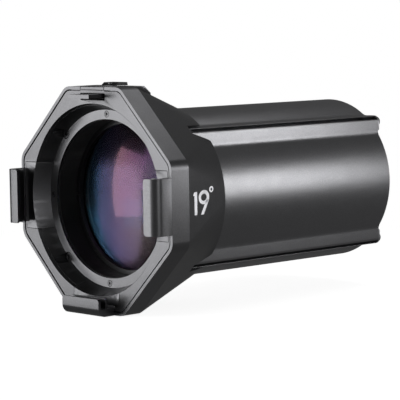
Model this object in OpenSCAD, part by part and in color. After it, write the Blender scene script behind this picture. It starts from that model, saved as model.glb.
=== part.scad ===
// Interchangeable lens tube of an ellipsoidal spotlight: an octagonal hood with accessory
// clips and a sprung latch, bolted to an extruded barrel that holds three lenses.
// +Y runs from the hood into the barrel, +Z is up, and the origin is on the optical axis
// where the barrel leaves the hood.

/* [Hood] */
// Width across the flats of the octagonal hood
across_flats = 172.5; // [165:0.5:210]
// Length of the top, bottom and side flats between sharp corners
flat_len = 62; // [56:1:70]
// Radius of the octagon's corners
corner_r = 12; // [6:0.5:14]
// Length of the hood from its front rim to its rear edge
hood_len = 71; // [60:1:95]
// Length of the straight octagonal part behind the rim
straight_len = 17.5; // [15:0.5:25]
// Wall of the tapered part
hood_wall = 3.2; // [2:0.1:4]
// Thickness of the rim around the face plate
rim_wall = 2.4; // [1.5:0.1:3.5]
// Dark seam between the rim and the face plate
seam = 0.8; // [0.3:0.1:1.5]
// Thickness of the face plate
plate_t = 3; // [2:0.1:4]
// Radius of the front opening
bore_r = 73.4; // [70:0.1:74]
// Depth of the screw ring behind the rim
ring_depth = 14.3; // [12:0.1:20]
// Thickness of the screw ring
ring_t = 5; // [4.6:0.1:7]

/* [Barrel] */
// Outer radius of the barrel's round lobes
barrel_r = 66; // [64:0.5:67]
// Half the width across the barrel's corner ribs
rib_half = 53.5; // [51:0.5:54]
// Bore radius of the barrel
barrel_bore_r = 62.6; // [61:0.1:62.8]
// Length of the barrel
barrel_len = 247.7; // [200:1:320]
// Radius of the hollow fillet between a lobe and a rib
rib_fillet = 8; // [5:0.5:10]
// Radius of the screw ports in the ribs
port_r = 2.05; // [1.6:0.05:2.5]
// Width of the slot that opens each screw port
port_slot = 3.4; // [2:0.1:4]

/* [Lenses] */
// Radius of curvature of the lenses
lens_curve_r = 130; // [110:5:300]
// Thickness of the lens edge
lens_edge = 6.4; // [4:0.2:8]
// Depth of the front lens edge behind the rim
lens_depth = 39.6; // [37:0.2:44]
// Wall of a lens cell around the glass
cell_wall = 1.7; // [1.2:0.1:2.5]
// Width of the step that each lens sits on
seat_w = 3.4; // [2.5:0.1:5]

/* [Accessory clips] */
// Width of a clip
clip_w = 42; // [30:1:48]
// Reach of the clips in front of the rim
clip_out = 16; // [13:0.5:20]
// Wall behind the accessory channels
clip_base = 6; // [5:0.1:7]
// Total depth of a clip, measured from the hood's flat
clip_depth = 13.6; // [12:0.1:14]
// Thickness of the front lip
lip_t = 2.3; // [1.8:0.1:3]
// Width of the front channel
slot_w = 4.8; // [4:0.1:6]
// Thickness of the rib between the channels
rib_t = 1.9; // [1.5:0.1:2.5]
// Radius of the clip's outer front corner
clip_corner_r = 6.7; // [3:0.1:8]

/* [Latch] */
// Width of the latch tongue
tongue_w = 23.7; // [18:0.1:26]
// Thickness of the latch tongue
tongue_t = 2.9; // [2:0.1:3.2]
// Reach of the tongue in front of the rim
tongue_out = 13.8; // [12:0.1:15]
// Width of the thumb tab
tab_w = 16; // [12:0.5:20]
// Length of the thumb tab
tab_len = 13.2; // [10:0.2:14]
// Height of the thumb tab
tab_h = 2.4; // [1.5:0.1:4]

/* [Hidden] */
$fn = 96;

// Clearances: seats that touch, loose pieces, and metal that slides on metal
seat_gap = 0.05;
fit_gap = 0.15;
run_gap = 0.3;
cut = 0.1;

// Hood stations along the axis, measured from the rim
half = across_flats / 2;
rim_y = -hood_len;
plate_inset = 0.3;
plate_half = half - rim_wall - seam;
ledge_wall = 5;
ring_back = ring_depth + ring_t;
ring_bore_r = barrel_bore_r - 1.5;
ring_outer_r = ring_bore_r + 7.2;
cell_screw_r = ring_outer_r - 3.3;
bore_wall = 3;
tail_gap = 0.5;
tail_wall = 3.5;
tail_r = barrel_r + tail_gap + tail_wall;
notch_len = 20;
notch_half = [4, 8];
rib_slot = 0.6;

// Barrel
port_c = rib_half - 5.1;
rib_corner_r = 5.1;
barrel_end = ring_back + barrel_len;

// Screws: [shank radius, head radius, head height]
m4 = [1.95, 3.5, 2.4];
m3 = [1.45, 2.7, 1.8];
m25 = [1.2, 2.3, 1.2];
m4_key = 1.9;
m3_key = 1.2;
m25_key = 1.1;
thread_gap = 0.05;
head_gap = 0.3;

// Lens cells
cell_r = barrel_bore_r - run_gap;
glass_bore_r = cell_r - cell_wall;
lens_r = glass_bore_r - run_gap;
aperture_r = lens_r - seat_w;
flange_t = 2.4;
flange_start = ring_back - flange_t;
flange_r = barrel_r + 0.7;
seal_t = 1.6;
lock_t = 3.6;
lens_margin = 1.4;
lens_space = 8;
spanner_slot = [3, 1.5];
middle_seat = lens_depth + lens_edge + lens_space;
front_cell_end = middle_seat + lens_edge + seal_t + lock_t + 5;
rear_cell_len = 45;
rear_cell_start = barrel_end - rear_cell_len;
rear_seat = rear_cell_start + 12;
end_ring_t = 1.4;

// Clips
root_w = clip_w + 10;
root_out = half - 4.9;
lip_corner_r = 2.5;
clip_screw_z = clip_w / 2 - 4;
clip_screw_x = half - 7.2;
boss_r = 2.9;
boss_x = root_w / 2 + fit_gap + boss_r + run_gap;
boss_diag_z = half + flat_len / 2 - (ledge_wall + boss_r + fit_gap) * sqrt(2) - boss_x;
boss_z = min(boss_diag_z, half - ledge_wall - boss_r - fit_gap);
neck_gusset = 1.2;

// Latch, measured from the rim
travel = tongue_out + plate_inset + 0.2;
roof_z = half - ledge_wall;
tongue_top = roof_z - 0.45;
tongue_z = tongue_top - tongue_t;
shoulder_y = 12;
neck_y = ring_depth + 2.2;
neck_len = 5;
neck_w = 9;
tab_z = half + run_gap;
fairing_half = 27;
fairing_len = 11.5;
fairing_slope = 6.4;
fairing_drop = 5.3;
fairing_sink = 3.5;
taper_slope = (half - tail_r) / (hood_len - straight_len);
fairing_root = taper_slope * (fairing_len + fairing_slope) + fairing_sink;
slot_len = neck_len + travel + 2 * run_gap;
spring_seat = neck_y + 14.5;
spring_x = 8.7;
spring_r = 1.1;
wire_r = 0.25;
guide_t = 2.4;
guide_z = tongue_z - run_gap - guide_t;
guide_w = 31;
guide_foot = 8;
guide_screw_x = 10.5;
guide_screw_z = guide_z - 3.1;
foot_t = 2;
seat_t = 2;
cover_w = 26.4;
cover_t = 1.95;
cover_len = 15.5;
cover_inset = 0.2;
cover_gap = 0.7;
notch_w = cover_w + 2 * cover_gap;
mouth_w = 27.5;
mouth_drop = 1.6;

// ---- Helpers ---------------------------------------------------------------------------

// Places children at a depth behind the rim
module at_depth(d) translate([0, rim_y + d, 0]) children();

// Extrudes a front-view outline (X right, Z up) from depth d over a length
module front_slab(d, len) at_depth(d + len) rotate([90, 0, 0]) linear_extrude(len) children();

// Turns a profile drawn as [radius, depth] about the optical axis
module turned() at_depth(0) rotate([-90, 0, 0]) rotate_extrude() children();

// Cylinder along the axis at [x, z], from depth d over a length
module rod(x, z, d, len, r) translate([x, rim_y + d, z]) rotate([-90, 0, 0]) cylinder(r = r, h = len);

// Repeats children at the four quarter turns about the optical axis
module quarters(start = 0) for (a = [start : 90 : start + 270]) rotate([0, a, 0]) children();

module ring(r_out, r_in, d, len) turned() translate([r_in, d]) square([r_out - r_in, len]);

module rounded_rect(w, h, r) {
    square([w - 2 * r, h], center = true);
    square([w, h - 2 * r], center = true);
    for (sx = [-1, 1], sy = [-1, 1]) translate([sx * (w / 2 - r), sy * (h / 2 - r)]) circle(r);
}

// Octagon with unequal flats and rounded corners, inset from the hood's outline
module octagon(inset = 0) {
    h = half - inset;
    f = flat_len / 2 - inset * tan(22.5);
    r = max(corner_r - inset, 1);
    offset(r = r, $fn = 64) offset(delta = -r)
        polygon([[f, h], [h, f], [h, -f], [f, -h], [-f, -h], [-h, -f], [-h, f], [-f, h]]);
}

// Screw with a socket head: head on the side of the given depth, shank along +Y
module socket_screw(x, z, d, shank_len, size, hex) {
    difference() {
        union() {
            rod(x, z, d, size[2], size[1]);
            rod(x, z, d + size[2], shank_len, size[0]);
        }
        translate([x, rim_y + d - cut, z]) rotate([-90, 0, 0])
            cylinder(r = hex, h = size[2] * 0.6 + cut, $fn = 6);
    }
}

// The same screw driven from behind: its head's rear face is at depth d
module rear_screw(x, z, d, shank_len, size, hex) {
    translate([0, 2 * (rim_y + d), 0]) mirror([0, 1, 0]) socket_screw(x, z, d, shank_len, size, hex);
}

// ---- Barrel ----------------------------------------------------------------------------

// Outline of the barrel as an eighth, from the top of a lobe to the middle of a rib:
// the lobe's arc, a hollow fillet, the rib's flat and its round corner
fillet_z = rib_half + rib_fillet;
fillet_x = sqrt(pow(barrel_r + rib_fillet, 2) - pow(fillet_z, 2));
fillet_angle = atan2(fillet_z, fillet_x);
function arc(x, z, r, from, to, steps) =
    [for (i = [0 : steps]) let (a = from + (to - from) * i / steps) [x + r * cos(a), z + r * sin(a)]];
barrel_eighth = concat(
    arc(0, 0, barrel_r, 90, fillet_angle, 18),
    arc(fillet_x, fillet_z, rib_fillet, fillet_angle + 180, 270, 6),
    arc(port_c, port_c, rib_corner_r, 90, 45, 5));
eighth_end = len(barrel_eighth) - 1;
barrel_quarter = concat(barrel_eighth,
    [for (i = [eighth_end - 1 : -1 : 1]) [barrel_eighth[i][1], barrel_eighth[i][0]]]);

module barrel_outline() polygon([for (a = [0 : -90 : -270], p = barrel_quarter)
    [p[0] * cos(a) - p[1] * sin(a), p[0] * sin(a) + p[1] * cos(a)]]);

module ports(r) for (a = [45 : 90 : 315]) rotate(a) translate([port_c * sqrt(2), 0]) circle(r, $fn = 32);

module barrel_tube() color("#3a3a3c") {
    front_slab(ring_back, barrel_len) difference() {
        barrel_outline();
        circle(barrel_bore_r, $fn = 180);
        ports(port_r);
        for (a = [45 : 90 : 315]) rotate(a)
            translate([port_c * sqrt(2), -port_slot / 2]) square([rib_half, port_slot]);
    }
}

module end_ring() color("#9a9a9c") {
    front_slab(barrel_end, end_ring_t) difference() {
        union() {
            circle(cell_r + 2, $fn = 180);
            intersection() {
                rounded_rect(2 * rib_half, 2 * rib_half, rib_corner_r);
                for (a = [45 : 90 : 315]) rotate(a)
                    translate([port_c * sqrt(2) - 6, -8]) square([20, 16]);
            }
        }
        circle(aperture_r, $fn = 180);
        ports(m4[0] + head_gap);
    }
}

module end_screws() color("#1c1c1e") {
    head_h = 3;
    head_r = 4.3;
    edge_r = 1.8;
    shank_len = 15;
    for (a = [45 : 90 : 315]) rotate([0, a, 0]) translate([port_c * sqrt(2), 0, 0]) {
        at_depth(barrel_end + end_ring_t - shank_len) rotate([-90, 0, 0]) cylinder(r = m4[0], h = shank_len);
        at_depth(barrel_end + end_ring_t) rotate([-90, 0, 0]) difference() {
            rotate_extrude() intersection() {
                union() {
                    square([head_r - edge_r, head_h]);
                    square([head_r, head_h - edge_r]);
                    translate([head_r - edge_r, head_h - edge_r]) circle(edge_r);
                }
                square([head_r, head_h]);
            }
            translate([0, 0, 1.3]) cylinder(r = 1.45, h = head_h, $fn = 6);
        }
    }
}

// ---- Hood ------------------------------------------------------------------------------

module hood_outside() {
    hull() {
        front_slab(0, straight_len) octagon();
        rod(0, 0, hood_len - 0.5, 0.5, tail_r, $fn = 72);
    }
    fairing();
}

// Flat-topped housing over the latch, which carries the top flat back over the taper
module fairing() {
    top_y = rim_y + straight_len + fairing_len;
    end_y = top_y + fairing_slope;
    translate([-fairing_half, 0, 0]) rotate([90, 0, 90]) linear_extrude(2 * fairing_half)
        polygon([[rim_y + straight_len, half], [top_y, half], [end_y, half - fairing_drop],
                 [end_y, half - fairing_root], [rim_y + straight_len, roof_z]]);
}

// Space inside the tapered part, behind the screw ring
module hood_cavity() {
    hull() {
        front_slab(ring_back, 0.5) octagon(hood_wall + 0.6);
        rod(0, 0, hood_len, cut, barrel_r + tail_gap, $fn = 72);
    }
    front_slab(ring_back, hood_len)
        rounded_rect(2 * (rib_half + rib_slot), 2 * (rib_half + rib_slot), rib_corner_r + rib_slot);
}

// Opening at each rib where the skirt is cut back in a V with a flat bottom
module skirt_notches() {
    quarters(45) translate([barrel_r - 8, 0, 0]) rotate([90, 0, 90]) linear_extrude(30)
        polygon([[-notch_len, -notch_half[0]], [-notch_len, notch_half[0]],
                 [cut, notch_half[1]], [cut, -notch_half[1]]]);
}

module bore_profile() {
    polygon([[0, -20], [bore_r, -20], [bore_r, plate_inset],
             [ring_outer_r, ring_depth], [0, ring_depth]]);
}

module clip_pocket() {
    front_slab(-cut, ring_depth + cut + seat_gap) translate([bore_r / 2, -root_w / 2 - fit_gap])
        square([root_out + fit_gap - bore_r / 2, root_w + 2 * fit_gap]);
}

module latch_cuts() {
    // Channel for the cover
    front_slab(-cut, cover_len + fit_gap + cut)
        translate([-notch_w / 2, half - cover_inset - cover_t - seat_gap]) square([notch_w, cover_t + 1]);
    front_slab(-cut, plate_inset + plate_t + cut)
        translate([-notch_w / 2, plate_half]) square([notch_w, rim_wall + seam + cut]);
    // Window in the screw ring for the bolt
    front_slab(plate_t, ring_back) translate([-tongue_w / 2 - run_gap, tongue_z - run_gap])
        square([tongue_w + 2 * run_gap, roof_z - tongue_z + run_gap]);
    // Pocket under the fairing for the springs
    front_slab(ring_depth, spring_seat + seat_t - ring_depth)
        translate([-tongue_w / 2 - run_gap, tongue_z - run_gap])
            square([tongue_w + 2 * run_gap, roof_z - tongue_z + run_gap]);
    // Room for the guide below that pocket
    front_slab(ring_back, spring_seat + seat_t - ring_back)
        translate([-guide_w / 2 - seat_gap, guide_z - seat_gap])
            square([guide_w + 2 * seat_gap, guide_t + 2 * seat_gap]);
    // Slot for the neck of the bolt
    front_slab(neck_y - run_gap, slot_len) translate([-neck_w / 2 - run_gap, tongue_z - run_gap])
        square([neck_w + 2 * run_gap, 20]);
}

module hood() color("#2b2b2d") {
    difference() {
        hood_outside();
        // Seat of the face plate
        front_slab(-cut, plate_inset + plate_t + cut) octagon(rim_wall);
        // Hollow between the bore wall and the shell
        front_slab(plate_inset + plate_t - cut, ring_depth - plate_inset - plate_t + cut) difference() {
            octagon(ledge_wall);
            circle(bore_r + bore_wall, $fn = 180);
        }
        turned() bore_profile();
        rotate([-90, 0, 0]) translate([0, 0, rim_y]) cylinder(r = ring_bore_r, h = hood_len, $fn = 180);
        hood_cavity();
        skirt_notches();
        for (a = [0, 90, 180]) rotate([0, a, 0]) clip_pocket();
        latch_cuts();
        // Recess for the flange of the front cell
        ring(flange_r + fit_gap, 0.01, flange_start - seat_gap, flange_t + 1);
        screw_holes();
    }
}

module screw_holes() {
    quarters(45) {
        rod(port_c * sqrt(2), 0, ring_depth - 10, 10 + m4[2] + 0.2, m4[1] + 0.6);
        rod(port_c * sqrt(2), 0, ring_depth, ring_t + 1, m4[0] + 0.2);
    }
    quarters() {
        rod(cell_screw_r, 0, ring_depth - 1, 1 + m25[2], m25[1] + head_gap);
        rod(cell_screw_r, 0, ring_depth, ring_t, m25[0] + thread_gap);
    }
    for (a = [0, 90, 180]) rotate([0, a, 0]) for (s = [-1, 1]) {
        rod(clip_screw_x, s * clip_screw_z, ring_depth - 1, ring_t + 2, m3[0] + 0.15);
        rod(clip_screw_x, s * clip_screw_z, ring_back - m3[2] - 0.2, 4, m3[1] + head_gap);
    }
    for (sx = [-1, 1], sz = [-1, 1]) {
        rod(sx * boss_x, sz * boss_z, ring_depth - 1, ring_t + 2, m3[0] + 0.15);
        rod(sx * boss_x, sz * boss_z, ring_back - m3[2] - 0.2, 4, m3[1] + head_gap);
    }
    for (s = [-1, 1]) {
        rod(s * guide_screw_x, guide_screw_z, ring_back - 8, 9, m3[0] + thread_gap);
        translate([s * cover_screw_x, rim_y + cover_len / 2, roof_z - 1])
            cylinder(r = m25[0] + thread_gap, h = 10);
    }
}

// ---- Face plate ------------------------------------------------------------------------

module face_plate() color("#8f8f90") {
    boss_len = ring_depth - plate_inset - plate_t - seat_gap;
    difference() {
        union() {
            front_slab(plate_inset, plate_t) {
                octagon(rim_wall + seam);
                translate([fit_gap - notch_w / 2, roof_z])
                    square([notch_w - 2 * fit_gap, plate_half + seam - fit_gap - roof_z]);
            }
            for (sx = [-1, 1], sz = [-1, 1])
                rod(sx * boss_x, sz * boss_z, plate_inset + plate_t, boss_len, boss_r);
        }
        turned() bore_profile();
        for (a = [0, 90, 180]) rotate([0, a, 0]) clip_pocket();
        front_slab(-1, 10) translate([-mouth_w / 2, tongue_z - mouth_drop]) square([mouth_w, tongue_t + 2]);
        for (sx = [-1, 1], sz = [-1, 1])
            rod(sx * boss_x, sz * boss_z, plate_inset + plate_t + 1, ring_depth, m3[0] + thread_gap);
    }
}

module plate_screws() color("#1c1c1e")
    for (sx = [-1, 1], sz = [-1, 1])
        rear_screw(sx * boss_x, sz * boss_z, ring_back - 0.2, 10, m3, m3_key);

module hood_screws() color("#3c3c3e")
    quarters(45) socket_screw(port_c * sqrt(2), 0, ring_depth + 0.2, 18, m4, m4_key);

module cell_screws() color("#3c3c3e")
    quarters() socket_screw(cell_screw_r, 0, ring_depth, 3.5, m25, m25_key);

// ---- Accessory clips -------------------------------------------------------------------

// E-shaped section of a clip on the +X side: a lip, a rib and two channels in front of the
// face plate, and a root behind it that is part of the bore wall
module clip_section() {
    floor_x = half - clip_base;
    inner_x = half - clip_depth;
    root_y = rim_y + plate_inset;
    polygon([[floor_x - neck_gusset, root_y + neck_gusset], [floor_x - neck_gusset, root_y],
             [floor_x, root_y - neck_gusset], [floor_x + neck_gusset / 2, root_y - neck_gusset],
             [floor_x + neck_gusset / 2, root_y + neck_gusset]]);
    difference() {
        union() {
            translate([inner_x, rim_y - clip_out]) difference() {
                square([clip_depth, clip_out]);
                translate([clip_depth - clip_corner_r, 0]) difference() {
                    translate([0, -cut]) square([clip_corner_r + cut, clip_corner_r + cut]);
                    translate([0, clip_corner_r]) circle(clip_corner_r);
                }
            }
            translate([floor_x, rim_y - cut]) square([root_out - floor_x, plate_inset + 1]);
        }
        translate([0, rim_y - clip_out + lip_t]) square([floor_x, slot_w]);
        translate([0, rim_y - clip_out + lip_t + slot_w + rib_t])
            square([floor_x, clip_out - lip_t - slot_w - rib_t + cut]);
    }
}

module clip() {
    difference() {
        union() {
            difference() {
                linear_extrude(clip_w, center = true) clip_section();
                for (s = [0, 1]) mirror([0, 0, s]) front_slab(-clip_out - 1, clip_out + 1)
                    translate([half - clip_depth, clip_w / 2 - lip_corner_r]) difference() {
                        translate([-cut, 0]) square([lip_corner_r + cut, lip_corner_r + cut]);
                        translate([lip_corner_r, 0]) circle(lip_corner_r);
                    }
            }
            difference() {
                front_slab(plate_inset, ring_depth - plate_inset - seat_gap)
                    translate([bore_r / 2, -root_w / 2]) square([root_out - bore_r / 2, root_w]);
                turned() bore_profile();
            }
        }
        for (s = [-1, 1]) rod(clip_screw_x, s * clip_screw_z, ring_depth - 8, 10, m3[0] + thread_gap);
    }
}

module clip_right() color("#4a4a4c") clip();
module clip_bottom() color("#4a4a4c") rotate([0, 90, 0]) clip();
module clip_left() color("#4a4a4c") rotate([0, 180, 0]) clip();

module clip_screws() color("#1c1c1e")
    for (a = [0, 90, 180]) rotate([0, a, 0]) for (s = [-1, 1])
        rear_screw(clip_screw_x, s * clip_screw_z, ring_back - 0.2, 10, m3, m3_key);

// ---- Latch -----------------------------------------------------------------------------

module latch_bolt() color("#77777a") {
    difference() {
        union() {
            front_slab(-tongue_out, tongue_out + shoulder_y) translate([-tongue_w / 2, tongue_z])
                square([tongue_w, tongue_t]);
            front_slab(shoulder_y, neck_y + neck_len - shoulder_y) translate([-neck_w / 2, tongue_z])
                square([neck_w, tongue_t]);
            front_slab(neck_y, neck_len) translate([-neck_w / 2, tongue_z])
                square([neck_w, tab_z - tongue_z]);
        }
        translate([0, rim_y + neck_y + neck_len / 2, tab_z - 5])
            cylinder(r = m25[0] + thread_gap, h = 6);
    }
}

// Black thumb tab with a ramped front and finger grooves
module latch_tab() color("#161618") {
    ramp = 3;
    start_y = rim_y + neck_y - 0.3;
    difference() {
        translate([-tab_w / 2, 0, 0]) rotate([90, 0, 90]) linear_extrude(tab_w)
            polygon([[start_y, tab_z], [start_y + tab_len, tab_z],
                     [start_y + tab_len - 0.6, tab_z + tab_h], [start_y + ramp, tab_z + tab_h]]);
        translate([0, rim_y + neck_y + neck_len / 2, tab_z - cut]) {
            cylinder(r = m25[0] + 0.2, h = tab_h + 1);
            translate([0, 0, tab_h - m25[2]]) cylinder(r = m25[1] + head_gap, h = 5);
        }
    }
}

module tab_screw() color("#3c3c3e")
    translate([0, rim_y + neck_y + neck_len / 2, tab_z + tab_h - m25[2] - cut]) vertical_screw(5.5);

// Small screw that stands on its head seat, with its shank along -Z
module vertical_screw(shank_len) {
    difference() {
        union() {
            cylinder(r = m25[1], h = m25[2]);
            translate([0, 0, -shank_len]) cylinder(r = m25[0], h = shank_len);
        }
        translate([0, 0, 0.4]) cylinder(r = 0.9, h = 5, $fn = 6);
    }
}

// Points and faces of a tube swept along a helix on the Y axis, with flat end caps
spring_turns = 7;
spring_steps = 14;
spring_sides = 6;
spring_n = spring_turns * spring_steps;
spring_start = shoulder_y + wire_r + seat_gap;
spring_pitch = (spring_seat - wire_r - seat_gap - spring_start) / spring_turns;
function coil(i) = let (a = 360 * i / spring_steps)
    [spring_r * cos(a), spring_start + spring_pitch * i / spring_steps, spring_r * sin(a)];
function coil_ring(i) = let (a = 360 * i / spring_steps, c = coil(i))
    [for (k = [0 : spring_sides - 1]) let (b = 360 * k / spring_sides, s = spring_r + wire_r * cos(b))
        [s * cos(a), c[1] + wire_r * sin(b), s * sin(a)]];

module coil_spring() {
    points = [for (i = [0 : spring_n]) each coil_ring(i)];
    n = spring_sides;
    sides = [for (i = [0 : spring_n - 1], k = [0 : n - 1]) let (m = (k + 1) % n)
        [i * n + k, (i + 1) * n + k, (i + 1) * n + m, i * n + m]];
    caps = [[for (k = [0 : n - 1]) k], [for (k = [n - 1 : -1 : 0]) spring_n * n + k]];
    polyhedron(points, concat(sides, caps));
}

module latch_springs() color("#b5b5b8")
    for (s = [-1, 1]) translate([s * spring_x, rim_y, tongue_z + tongue_t / 2]) coil_spring();

// Bracket that closes the latch channel from below and backs the springs
module latch_guide() color("#58585a") {
    seat_x = neck_w / 2 + 1.2;
    difference() {
        union() {
            front_slab(ring_back + seat_gap, spring_seat + seat_t - ring_back - fit_gap)
                translate([-guide_w / 2, guide_z]) square([guide_w, guide_t]);
            front_slab(ring_back + seat_gap, foot_t) translate([-guide_w / 2, guide_z - guide_foot])
                square([guide_w, guide_foot + guide_t]);
            for (s = [0, 1]) mirror([s, 0, 0]) front_slab(spring_seat, seat_t - fit_gap)
                translate([seat_x, guide_z]) square([tongue_w / 2 - seat_x, tongue_top - guide_z]);
        }
        for (s = [-1, 1]) rod(s * guide_screw_x, guide_screw_z, ring_back - 1, 10, m3[0] + 0.15);
    }
}

module guide_screws() color("#1c1c1e")
    for (s = [-1, 1])
        rear_screw(s * guide_screw_x, guide_screw_z, ring_back + seat_gap + foot_t + m3[2], 8, m3, m3_key);

cover_screw_x = 9;
cover_seat_z = half - cover_inset - m25[2];

module latch_cover() color("#8f8f90") {
    difference() {
        front_slab(0, cover_len) translate([-cover_w / 2, half - cover_inset - cover_t])
            square([cover_w, cover_t]);
        for (s = [-1, 1]) translate([s * cover_screw_x, rim_y + cover_len / 2, cover_seat_z]) {
            translate([0, 0, -cover_t]) cylinder(r = m25[0] + fit_gap, h = 2 * cover_t);
            cylinder(r = m25[1] + fit_gap, h = cover_t);
        }
    }
}

module cover_screws() color("#3c3c3e")
    for (s = [-1, 1]) translate([s * cover_screw_x, rim_y + cover_len / 2, cover_seat_z])
        vertical_screw(3.2);

// ---- Lens train ------------------------------------------------------------------------

// Plano-convex lens with a flat margin: its edge starts at depth d, and the dome faces
// forward or back
module lens(d, forward) {
    dome_r = lens_r - lens_margin;
    sag = lens_curve_r - sqrt(pow(lens_curve_r, 2) - pow(dome_r, 2));
    dome_centre = forward ? d + lens_curve_r - sag : d + lens_edge + sag - lens_curve_r;
    turned() {
        translate([0, d]) square([lens_r, lens_edge]);
        intersection() {
            translate([0, dome_centre]) circle(lens_curve_r, $fn = 360);
            translate([0, forward ? d - sag : d + lens_edge]) square([dome_r, sag]);
        }
    }
}

// Threaded lock ring with two spanner slots
module lock_ring(d, slot_in_front) {
    difference() {
        ring(glass_bore_r - fit_gap, aperture_r, d, lock_t);
        for (s = [0, 180]) rotate([0, s, 0])
            at_depth(slot_in_front ? d - cut : d + lock_t - spanner_slot[1])
                translate([aperture_r - 1, 0, -spanner_slot[0] / 2])
                    cube([seat_w + 3, spanner_slot[1] + cut, spanner_slot[0]]);
    }
}

// O-ring between a lens and its lock ring
module seal(d) turned() translate([glass_bore_r - seal_t / 2, d + seal_t / 2])
    circle(seal_t / 2 - seat_gap, $fn = 24);

front_lock = lens_depth - seal_t - lock_t;

module front_cell() color("#1d1d1f") {
    difference() {
        union() {
            ring(cell_r, aperture_r, flange_start, front_cell_end - flange_start);
            ring(flange_r, cell_r - 1, flange_start, flange_t - seat_gap);
        }
        ring(glass_bore_r, 0.01, flange_start - 1, lens_depth + lens_edge - flange_start + 1);
        ring(glass_bore_r, 0.01, middle_seat, front_cell_end);
        quarters(45) rod(port_c * sqrt(2), 0, ring_depth, ring_t + 1, m4[0] + 1);
        quarters() rod(cell_screw_r, 0, ring_depth, ring_t + 1, m25[0] + thread_gap);
    }
}

module front_lens() color("#3b4a55", 0.6) lens(lens_depth, true);
module front_seal() color("#101010") seal(lens_depth - seal_t);
module front_lens_ring() color("#2a2a2c") lock_ring(front_lock, true);

module middle_lens() color("#3b4a55", 0.6) lens(middle_seat, false);
module middle_seal() color("#101010") seal(middle_seat + lens_edge);
module middle_lens_ring() color("#2a2a2c") lock_ring(middle_seat + lens_edge + seal_t, false);

// Sleeve that spaces the two cells, with three light baffles
module spacer_sleeve() color("#1d1d1f") {
    start = front_cell_end + fit_gap;
    len = rear_cell_start - front_cell_end - 2 * fit_gap;
    ring(cell_r, glass_bore_r, start, len);
    for (i = [1 : 3]) ring(cell_r - 0.5, aperture_r - 2, start + i * len / 4, 1.2);
}

module rear_cell() color("#1d1d1f") {
    difference() {
        ring(cell_r, glass_bore_r, rear_cell_start, rear_cell_len - seat_gap);
        ring(cell_r + 1, cell_r - 0.4, rear_cell_start + 6, 3);
    }
    ring(glass_bore_r + 0.5, aperture_r, rear_seat - 4, 4);
}

module rear_lens() color("#3b4a55", 0.6) lens(rear_seat, false);
module rear_seal() color("#101010") seal(rear_seat + lens_edge);
module rear_lens_ring() color("#2a2a2c") lock_ring(rear_seat + lens_edge + seal_t, false);

hood();
face_plate();
clip_left();
clip_right();
clip_bottom();
clip_screws();
plate_screws();
hood_screws();
cell_screws();
latch_bolt();
latch_tab();
tab_screw();
latch_springs();
latch_guide();
guide_screws();
latch_cover();
cover_screws();
barrel_tube();
front_cell();
front_lens();
front_seal();
front_lens_ring();
middle_lens();
middle_seal();
middle_lens_ring();
spacer_sleeve();
rear_cell();
rear_lens();
rear_seal();
rear_lens_ring();
end_ring();
end_screws();
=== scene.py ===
"""Lens tube of an ellipsoidal spotlight: looks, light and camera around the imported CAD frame.

Every size is in metres in the CAD's own frame: +Y runs from the hood into the barrel, +Z is
up, and the origin is on the optical axis at the hood's rear edge.
"""

import math

import bmesh
import bpy
from mathutils import Matrix, Vector
from mathutils.bvhtree import BVHTree


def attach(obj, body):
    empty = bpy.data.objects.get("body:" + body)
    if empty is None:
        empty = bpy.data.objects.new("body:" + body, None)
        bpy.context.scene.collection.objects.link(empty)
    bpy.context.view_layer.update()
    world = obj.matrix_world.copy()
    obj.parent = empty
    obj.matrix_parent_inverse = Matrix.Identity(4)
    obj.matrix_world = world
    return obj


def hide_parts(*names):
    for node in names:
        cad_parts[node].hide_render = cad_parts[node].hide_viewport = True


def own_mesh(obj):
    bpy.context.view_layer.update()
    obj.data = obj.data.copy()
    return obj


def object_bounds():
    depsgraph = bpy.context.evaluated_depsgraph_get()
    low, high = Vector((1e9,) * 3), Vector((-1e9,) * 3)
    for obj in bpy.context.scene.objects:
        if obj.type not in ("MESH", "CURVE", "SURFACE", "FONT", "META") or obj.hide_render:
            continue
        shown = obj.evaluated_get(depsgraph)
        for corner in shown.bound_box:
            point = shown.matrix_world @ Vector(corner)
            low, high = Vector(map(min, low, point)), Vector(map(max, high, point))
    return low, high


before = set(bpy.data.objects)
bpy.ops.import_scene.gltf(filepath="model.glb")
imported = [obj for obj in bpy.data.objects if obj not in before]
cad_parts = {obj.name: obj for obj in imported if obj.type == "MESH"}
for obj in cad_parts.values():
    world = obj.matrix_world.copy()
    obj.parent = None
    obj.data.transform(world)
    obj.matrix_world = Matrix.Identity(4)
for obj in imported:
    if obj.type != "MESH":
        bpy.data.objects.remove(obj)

CAD_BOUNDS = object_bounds()
MM = 0.001
RIM = -71 * MM
BEHIND_RING = -52 * MM

# ---- Camera ------------------------------------------------------------------------------

AZIMUTH, ELEVATION, ROLL = (math.radians(v) for v in (46.0, 5.35, -0.85))
AIM = Vector((0.0559, -0.0132, -0.0009))
DISTANCE = 1.5208
FOCAL_MM = 180.2
SENSOR_MM = 36


def view_axes():
    """(right, up, back) of the camera, as unit vectors."""
    level = Vector((math.cos(AZIMUTH), math.sin(AZIMUTH), 0))
    back = Vector((math.sin(AZIMUTH) * math.cos(ELEVATION),
                   -math.cos(AZIMUTH) * math.cos(ELEVATION), math.sin(ELEVATION)))
    turn = Matrix.Rotation(ROLL, 3, back)
    return turn @ level, turn @ back.cross(level), back


def make_camera():
    data = bpy.data.cameras.new("camera")
    data.sensor_width = SENSOR_MM
    data.lens = FOCAL_MM
    camera = bpy.data.objects.new("camera", data)
    right, up, back = view_axes()
    camera.matrix_world = Matrix((right, up, back)).transposed().to_4x4()
    camera.location = AIM + DISTANCE * back
    bpy.context.scene.collection.objects.link(camera)
    bpy.context.scene.camera = camera


make_camera()

# ---- Material helpers --------------------------------------------------------------------


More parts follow.
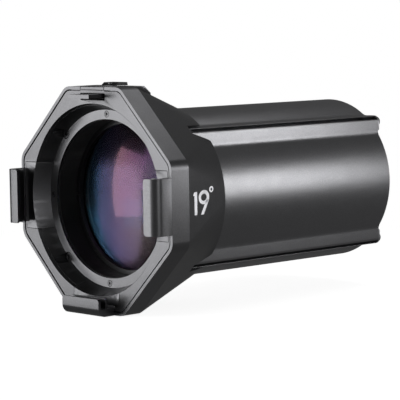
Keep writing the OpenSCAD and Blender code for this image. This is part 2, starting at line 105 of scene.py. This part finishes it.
class Finish:
    """Builds one procedural material: a principled shader fed by noise in object space."""

    def __init__(self, name):
        self.material = bpy.data.materials.new(name)
        self.material.use_nodes = True
        self.nodes = self.material.node_tree.nodes
        self.links = self.material.node_tree.links
        self.shader = self.nodes["Principled BSDF"]
        self.coords = self.nodes.new("ShaderNodeTexCoord").outputs["Object"]

    def set(self, **values):
        for name, value in values.items():
            self.shader.inputs[name.replace("_", " ")].default_value = value
        return self

    def noise(self, scale, detail=3.0, stretch=(1, 1, 1), roughness=0.6):
        mapping = self.nodes.new("ShaderNodeMapping")
        mapping.inputs["Scale"].default_value = stretch
        self.links.new(self.coords, mapping.inputs["Vector"])
        noise = self.nodes.new("ShaderNodeTexNoise")
        noise.inputs["Scale"].default_value = scale
        noise.inputs["Detail"].default_value = detail
        noise.inputs["Roughness"].default_value = roughness
        self.links.new(mapping.outputs["Vector"], noise.inputs["Vector"])
        return noise.outputs["Fac"]

    def ramp(self, value, low, high, start=0.35, end=0.65):
        """Maps a noise value to a range of numbers or colours."""
        if isinstance(low, (int, float)):
            node = self.nodes.new("ShaderNodeMapRange")
            node.inputs["From Min"].default_value = start
            node.inputs["From Max"].default_value = end
            node.inputs["To Min"].default_value = low
            node.inputs["To Max"].default_value = high
            self.links.new(value, node.inputs["Value"])
            return node.outputs["Result"]
        node = self.nodes.new("ShaderNodeValToRGB")
        node.color_ramp.elements[0].position = start
        node.color_ramp.elements[1].position = end
        node.color_ramp.elements[0].color = (*low, 1)
        node.color_ramp.elements[1].color = (*high, 1)
        self.links.new(value, node.inputs["Fac"])
        return node.outputs["Color"]

    def colour(self, value, low, high, start=0.35, end=0.65):
        self.links.new(self.ramp(value, low, high, start, end), self.shader.inputs["Base Color"])
        return self

    def roughness(self, value, low, high):
        self.links.new(self.ramp(value, low, high), self.shader.inputs["Roughness"])
        return self

    def bump(self, *layers):
        """Each layer is (value, height in metres, strength)."""
        normal = None
        for value, height, strength in layers:
            node = self.nodes.new("ShaderNodeBump")
            node.inputs["Strength"].default_value = strength
            node.inputs["Distance"].default_value = height
            self.links.new(value, node.inputs["Height"])
            if normal is not None:
                self.links.new(normal, node.inputs["Normal"])
            normal = node.outputs["Normal"]
        self.links.new(normal, self.shader.inputs["Normal"])
        return self


COOL_TINT = 1.04


def grey(value):
    """A slightly bluish grey."""
    return (value, value, value * COOL_TINT)


def satin_metal(name, shade, gloss, grain=0.00003, spread=0.1):
    """Dark metal under a thin satin coat, with an even, fine grain."""
    f = Finish(name).set(Metallic=1.0)
    fine = f.noise(1500, 2)
    f.colour(fine, grey(shade * (1 - spread)), grey(shade * (1 + spread)))
    f.roughness(f.noise(90, 2), gloss - 0.01, gloss + 0.015)
    f.bump((fine, grain, 0.5))
    return f.material


def matt_black(name, shade, gloss, specular=0.35):
    """Black anodised or moulded surface inside the optical path."""
    f = Finish(name).set(Specular_IOR_Level=specular)
    f.colour(f.noise(60), grey(shade * 0.8), grey(shade * 1.25))
    f.roughness(f.noise(200), gloss - 0.05, gloss + 0.06)
    f.bump((f.noise(2200, 2), 0.00002, 0.4))
    return f.material


def dark_steel(name, shade, gloss):
    f = Finish(name).set(Metallic=1.0)
    f.colour(f.noise(300), grey(shade * 0.8), grey(shade * 1.2))
    f.roughness(f.noise(500), gloss - 0.04, gloss + 0.06)
    f.bump((f.noise(3000, 2), 0.00001, 0.3))
    return f.material


GLASS_IOR = 1.52
COAT_NM, COAT_IOR = 535.0, 1.40


def coated_glass(name):
    """Lens glass with an anti-reflection coat, whose colour changes with the angle."""
    f = Finish(name).set(Roughness=0.11, IOR=GLASS_IOR, Transmission_Weight=1.0)
    f.set(Thin_Film_Thickness=COAT_NM, Thin_Film_IOR=COAT_IOR, Specular_IOR_Level=0.15)
    f.colour(f.noise(20), (0.80, 0.86, 0.9), (0.86, 0.9, 0.94))
    f.bump((f.noise(15, 1), 0.000002, 0.02))
    return f.material


HOOD = satin_metal("hood_coat", 0.20, 0.32)
PLATE = satin_metal("plate_coat", 0.20, 0.34)
CLIP = satin_metal("clip_coat", 0.20, 0.32)
BARREL = satin_metal("barrel_anodised", 0.30, 0.32, grain=0.00012)
LATCH = satin_metal("latch_coat", 0.20, 0.34)
END_RING = satin_metal("end_ring_aluminium", 0.60, 0.30)
BLACK_SCREW = dark_steel("black_screw", 0.10, 0.30)
FRONT_SCREW = dark_steel("front_screw", 0.14, 0.30)
SPRING = dark_steel("spring_steel", 0.55, 0.25)
BRACKET = dark_steel("bracket_steel", 0.40, 0.35)
CELL = matt_black("cell_black", 0.010, 0.42)
SLEEVE = matt_black("sleeve_black", 0.006, 0.80, specular=0.1)
LOCK = satin_metal("lock_ring_coat", 0.10, 0.35)
TAB = matt_black("tab_plastic", 0.012, 0.45, specular=0.5)
RUBBER = matt_black("seal_rubber", 0.010, 0.75)
MARK = matt_black("mark_paint", 0.85, 0.5)
GLASS = coated_glass("coated_glass")

# ---- Mesh helpers ------------------------------------------------------------------------


def add_piece(name, mesh, material, body, nodes=(), smooth_deg=35):
    piece = bpy.data.objects.new(name, mesh)
    bpy.context.scene.collection.objects.link(piece)
    mesh.materials.clear()
    mesh.materials.append(material)
    mesh.shade_smooth()
    mesh.set_sharp_from_angle(angle=math.radians(smooth_deg))
    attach(piece, body)
    if nodes:
        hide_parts(*nodes)
    return piece


def bevel(piece, width, segments=3, angle_deg=28):
    """Rounds the piece's sharp edges; inner corners behind the screw ring stay as they are."""
    bm = bmesh.new()
    bm.from_mesh(piece.data)
    weight = bm.edges.layers.float.new("bevel_weight_edge")
    for edge in bm.edges:
        middle_y = (edge.verts[0].co.y + edge.verts[1].co.y) / 2
        if len(edge.link_faces) == 2 and (edge.is_convex or middle_y < BEHIND_RING):
            edge[weight] = float(edge.calc_face_angle() > math.radians(angle_deg))
    bm.to_mesh(piece.data)
    bm.free()
    mod = piece.modifiers.new("edge_radius", "BEVEL")
    mod.width = width
    mod.segments = segments
    mod.limit_method = "WEIGHT"
    mod.use_clamp_overlap = True
    mod.harden_normals = True
    mod.miter_outer = "MITER_ARC"
    return piece


def refined(node, material, width, body="housing", segments=3, angle_deg=28):
    """The CAD node's own shape as a cleaned mesh whose edges are rounded."""
    bm = bmesh.new()
    bm.from_mesh(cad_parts[node].data)
    bmesh.ops.remove_doubles(bm, verts=bm.verts, dist=0.004 * MM)
    bmesh.ops.dissolve_limit(bm, angle_limit=math.radians(0.6), verts=bm.verts, edges=bm.edges)
    mesh = bpy.data.meshes.new(node + "_fine")
    bm.to_mesh(mesh)
    bm.free()
    piece = add_piece(node + "_fine", mesh, material, body, [node])
    return bevel(piece, width, segments, angle_deg)


def turned(name, outline, material, segments=256, smooth_deg=35):
    """A closed (radius, depth behind the rim) outline in mm, turned about the optical axis."""
    bm = bmesh.new()
    rows = []
    for r, d in outline:
        if r == 0:
            rows.append([bm.verts.new((0, RIM + d * MM, 0))] * segments)
        else:
            turns = [2 * math.pi * i / segments for i in range(segments)]
            rows.append([bm.verts.new((r * MM * math.cos(a), RIM + d * MM, r * MM * math.sin(a)))
                         for a in turns])
    for j, row in enumerate(rows):
        after = rows[(j + 1) % len(rows)]
        for i in range(segments):
            k = (i + 1) % segments
            corners = list(dict.fromkeys([row[i], row[k], after[k], after[i]]))
            if len(corners) > 2:
                bm.faces.new(corners)
    bmesh.ops.recalc_face_normals(bm, faces=bm.faces)
    mesh = bpy.data.meshes.new(name + "_fine")
    bm.to_mesh(mesh)
    bm.free()
    return add_piece(name + "_fine", mesh, material, "housing", [name], smooth_deg)


# Sizes of the three lenses, in mm.
LENS_EDGE, LENS_R, LENS_CHAMFER = 6.4, 60.3, 0.3
DOME_R, DOME_CURVE, DOME_STEPS = 58.9, 130.0, 32


def lens(name, flat_depth, side):
    """Plano-convex lens: flat at flat_depth, domed towards the rim (side -1) or the rear (+1)."""
    edge = flat_depth + side * LENS_EDGE
    sag = DOME_CURVE - math.sqrt(DOME_CURVE ** 2 - DOME_R ** 2)
    outline = [(0, flat_depth), (LENS_R - LENS_CHAMFER, flat_depth),
               (LENS_R, flat_depth + side * LENS_CHAMFER), (LENS_R, edge)]
    for i in range(DOME_STEPS + 1):
        tilt = math.asin(DOME_R / DOME_CURVE) * (DOME_STEPS - i) / DOME_STEPS
        outline.append((DOME_CURVE * math.sin(tilt) if i < DOME_STEPS else 0,
                        edge + side * (sag - DOME_CURVE * (1 - math.cos(tilt)))))
    return turned(name, outline, GLASS, smooth_deg=20)


refined("hood", HOOD, 0.6 * MM)
refined("face_plate", PLATE, 0.35 * MM)
for side in ("left", "right", "bottom"):
    refined("clip_" + side, CLIP, 0.6 * MM)
refined("latch_bolt", LATCH, 0.5 * MM, body="latch")
refined("latch_tab", TAB, 0.4 * MM, body="latch")
refined("latch_cover", PLATE, 0.25 * MM)
refined("barrel_tube", BARREL, 0.4 * MM)
refined("end_ring", END_RING, 0.15 * MM)
refined("hood_screws", FRONT_SCREW, 0.35 * MM)
refined("cell_screws", FRONT_SCREW, 0.25 * MM)
refined("end_screws", BLACK_SCREW, 0.25 * MM)
refined("front_lens_ring", LOCK, 0.3 * MM)
refined("front_cell", CELL, 0.2 * MM)
# Depth of each lens's flat face behind the rim, in mm.
FRONT_FLAT, MIDDLE_FLAT, REAR_FLAT = 46.0, 54.0, 234.0
lens("front_lens", FRONT_FLAT, -1)
lens("middle_lens", MIDDLE_FLAT, 1)
lens("rear_lens", REAR_FLAT, 1)

PLAIN = {
    "clip_screws": BLACK_SCREW, "plate_screws": BLACK_SCREW, "tab_screw": FRONT_SCREW,
    "latch_guide": BRACKET, "guide_screws": BLACK_SCREW, "cover_screws": FRONT_SCREW,
    "front_seal": RUBBER, "middle_seal": RUBBER, "middle_lens_ring": LOCK,
    "spacer_sleeve": SLEEVE, "rear_cell": CELL, "rear_seal": RUBBER, "rear_lens_ring": LOCK,
}
for node, material in PLAIN.items():
    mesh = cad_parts[node].data
    mesh.materials.clear()
    mesh.materials.append(material)

# ---- Springs -----------------------------------------------------------------------------

SPRING_X, SPRING_Z = 8.7 * MM, 79.35 * MM
SPRING_START, SPRING_END = -58.7 * MM, -40.3 * MM
COIL_R, WIRE_R, COILS = 1.1 * MM, 0.25 * MM, 11
STEPS_PER_COIL, WIRE_SIDES = 24, 10


def make_springs():
    """Both latch springs as one mesh of round wire."""
    bm = bmesh.new()
    steps, sides = COILS * STEPS_PER_COIL, WIRE_SIDES
    for side in (-1, 1):
        before = None
        for i in range(steps + 1):
            turn = 2 * math.pi * COILS * i / steps
            out = Vector((math.cos(turn), 0, math.sin(turn)))
            y = SPRING_START + (SPRING_END - SPRING_START) * i / steps
            centre = Vector((side * SPRING_X, y, SPRING_Z)) + COIL_R * out
            row = []
            for k in range(sides):
                a = 2 * math.pi * k / sides
                row.append(bm.verts.new(centre + WIRE_R * (math.cos(a) * out
                                                           + math.sin(a) * Vector((0, 1, 0)))))
            if before:
                for k in range(sides):
                    m = (k + 1) % sides
                    bm.faces.new((before[k], before[m], row[m], row[k]))
            else:
                bm.faces.new(row)
            before = row
        bm.faces.new(before)
    bmesh.ops.recalc_face_normals(bm, faces=bm.faces)
    mesh = bpy.data.meshes.new("latch_springs_fine")
    bm.to_mesh(mesh)
    bm.free()
    piece = add_piece("latch_springs_fine", mesh, SPRING, "housing",
                      ["latch_springs"], smooth_deg=60)
    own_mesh(piece)


make_springs()

# ---- Beam angle mark ---------------------------------------------------------------------
# Drawn in mm as (depth behind the rim, height) and laid onto the right side of the hood.
# A separate solver measured the outlines; they were then squared off by hand.

MARK_T = 0.06 * MM
MARK_RAY_X = 0.12
DIGIT_TOP, DIGIT_FOOT = 8.8, -8.3
STEM_START, STEM_END = 25.0, 28.8
FLAG_FOOT, FLAG_TIP, FLAG_TOP = 6.2, 23.2, 24.6
BOWL_OUTER, BOWL_INNER = (38.8, 4.1, 7.7, 5.3), (38.7, 4.0, 4.2, 2.7)
TAIL_INNER, TAIL_OUTER = (42.9, 2.6), (46.3, 2.0)
TAIL_FOOT_OUTER, TAIL_FOOT_INNER = (38.3, -8.8), (34.2, -8.6)
DEGREE_OUTER, DEGREE_INNER = (49.9, 9.1, 3.0, 2.3), (49.9, 9.0, 1.35, 1.15)


def band(outer, inner, steps=48):
    """Strips between two closed ellipses, each (centre depth, centre height, radius along each)."""
    def point(e, i):
        a = 2 * math.pi * i / steps
        return (e[0] + e[2] * math.cos(a), e[1] + e[3] * math.sin(a))
    return [[point(outer, i), point(outer, i + 1), point(inner, i + 1), point(inner, i)]
            for i in range(steps)]


def bar(corners, steps=12):
    """A four-cornered stroke cut into strips along its length, so that it follows the surface."""
    a, b, c, d = (Vector(p) for p in corners)
    rows = [(a.lerp(d, i / steps), b.lerp(c, i / steps)) for i in range(steps + 1)]
    return [[rows[i][0], rows[i][1], rows[i + 1][1], rows[i + 1][0]] for i in range(steps)]


def make_mark():
    source = bmesh.new()
    source.from_mesh(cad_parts["hood"].data)
    surface = BVHTree.FromBMesh(source)
    one = bar([(STEM_START, DIGIT_TOP), (STEM_END, DIGIT_TOP),
               (STEM_END, DIGIT_FOOT), (STEM_START, DIGIT_FOOT)])
    flag = bar([(STEM_START, DIGIT_TOP), (FLAG_TOP, DIGIT_TOP),
                (FLAG_TIP, FLAG_FOOT), (STEM_START, FLAG_FOOT)], 3)
    nine = band(BOWL_OUTER, BOWL_INNER)
    tail = bar([TAIL_INNER, TAIL_OUTER, TAIL_FOOT_OUTER, TAIL_FOOT_INNER])
    degree = band(DEGREE_OUTER, DEGREE_INNER, 32)
    bm = bmesh.new()
    for glyph in (one, flag, nine, tail, degree):
        top, bottom = {}, {}
        edges = {}
        for strip in glyph:
            keys = [(round(p[0], 4), round(p[1], 4)) for p in strip]
            keys = list(dict.fromkeys(keys))
            for key in keys:
                if key not in top:
                    start = Vector((MARK_RAY_X, RIM + key[0] * MM, key[1] * MM))
                    hit, normal, _, _ = surface.ray_cast(start, Vector((-1, 0, 0)))
                    top[key] = bm.verts.new(hit + MARK_T * normal)
                    bottom[key] = bm.verts.new(hit - MARK_T * normal)
            bm.faces.new([top[k] for k in keys])
            bm.faces.new([bottom[k] for k in reversed(keys)])
            for k, m in zip(keys, keys[1:] + keys[:1]):
                if edges.pop((m, k), None) is None:
                    edges[(k, m)] = True
        for k, m in edges:
            bm.faces.new((top[k], bottom[k], bottom[m], top[m]))
    source.free()
    bmesh.ops.recalc_face_normals(bm, faces=bm.faces)
    mesh = bpy.data.meshes.new("beam_angle_mark")
    bm.to_mesh(mesh)
    bm.free()
    add_piece("beam_angle_mark", mesh, MARK, "housing")


make_mark()

# ---- Stage and light ---------------------------------------------------------------------


FLOOR_RADIUS = 6
FLOOR_GLOW = 0.85
FADE_START, FADE_END = 0.25, 0.55
ROOM_STRENGTH = 0.1


def make_floor():
    """Pale paper that fades into white between FADE_START and FADE_END from the origin, all round."""
    bm = bmesh.new()
    bmesh.ops.create_circle(bm, cap_ends=True, segments=96, radius=FLOOR_RADIUS)
    mesh = bpy.data.meshes.new("floor")
    bm.to_mesh(mesh)
    bm.free()
    floor = bpy.data.objects.new("floor", mesh)
    floor.location.z = CAD_BOUNDS[0].z
    floor.visible_glossy = False
    floor.visible_transmission = False
    bpy.context.scene.collection.objects.link(floor)
    f = Finish("floor_paper").set(Roughness=0.9, Emission_Strength=FLOOR_GLOW)
    f.set(Emission_Color=(1, 1, 1, 1))
    f.colour(f.noise(3), (0.90,) * 3, (0.92,) * 3)
    white = f.nodes.new("ShaderNodeEmission")
    away = f.nodes.new("ShaderNodeVectorMath")
    away.operation = "LENGTH"
    f.links.new(f.coords, away.inputs[0])
    mix = f.nodes.new("ShaderNodeMixShader")
    f.links.new(f.ramp(away.outputs["Value"], 0.0, 1.0, FADE_START, FADE_END), mix.inputs["Fac"])
    f.links.new(f.shader.outputs["BSDF"], mix.inputs[1])
    f.links.new(white.outputs["Emission"], mix.inputs[2])
    f.links.new(mix.outputs["Shader"], f.nodes["Material Output"].inputs["Surface"])
    mesh.materials.append(f.material)


def around(azimuth, elevation):
    """Direction whose azimuth in degrees turns from straight in front towards the left."""
    a, e = math.radians(azimuth), math.radians(elevation)
    return Vector((-math.sin(a) * math.cos(e), -math.cos(a) * math.cos(e), math.sin(e)))


def softbox(name, spot, size, radiance):
    """A rectangular panel at spot that faces the object, as bright per area as radiance says."""
    data = bpy.data.lights.new(name, "AREA")
    data.shape = "RECTANGLE"
    data.size, data.size_y = size
    data.energy = radiance * size[0] * size[1] * math.pi
    light = bpy.data.objects.new(name, data)
    light.location = spot
    light.rotation_mode = "QUATERNION"
    light.rotation_quaternion = spot.to_track_quat("Z", "Y")
    light.visible_camera = False
    bpy.context.scene.collection.objects.link(light)


def make_world():
    """White behind the object, and a dim studio around it for everything it reflects."""
    world = bpy.data.worlds.new("studio")
    world.use_nodes = True
    nodes, links = world.node_tree.nodes, world.node_tree.links
    room = nodes["Background"]
    room.inputs["Color"].default_value = (1, 1, 1, 1)
    room.inputs["Strength"].default_value = ROOM_STRENGTH
    paper = nodes.new("ShaderNodeBackground")
    paper.inputs["Color"].default_value = (1, 1, 1, 1)
    mix = nodes.new("ShaderNodeMixShader")
    links.new(nodes.new("ShaderNodeLightPath").outputs["Is Camera Ray"], mix.inputs["Fac"])
    links.new(room.outputs["Background"], mix.inputs[1])
    links.new(paper.outputs["Background"], mix.inputs[2])
    links.new(mix.outputs["Shader"], nodes["World Output"].inputs["Surface"])
    bpy.context.scene.world = world


bpy.context.scene.view_settings.view_transform = "Standard"
make_floor()
make_world()
# A small panel close by, mirrored in the side of the barrel as its long highlight.
barrel_side = Vector((66, 40, 0)) * MM
softbox("barrel_key", barrel_side + 0.6 * around(-134, 8), (0.20, 0.22), 4.0)
# A tall panel in front to the left, mirrored in the face plate, strongest at its right half.
plate_right = Vector((90, -70, 0)) * MM
softbox("plate_key", plate_right + 0.7 * around(48, 3), (0.35, 0.45), 2.5)
# Wide and dim: the left bore wall, the screw ring and the sides of the clips.
softbox("right_fill", 1.0 * around(-75, 10), (0.45, 0.40), 1.5)
# The lens and the lips that face the front.
softbox("front_fill", 1.0 * around(15, 15), (0.40, 0.50), 2.0)
# The upper lobe and the far side.
softbox("rear_top", 1.0 * around(180, 60), (0.50, 0.50), 0.8)
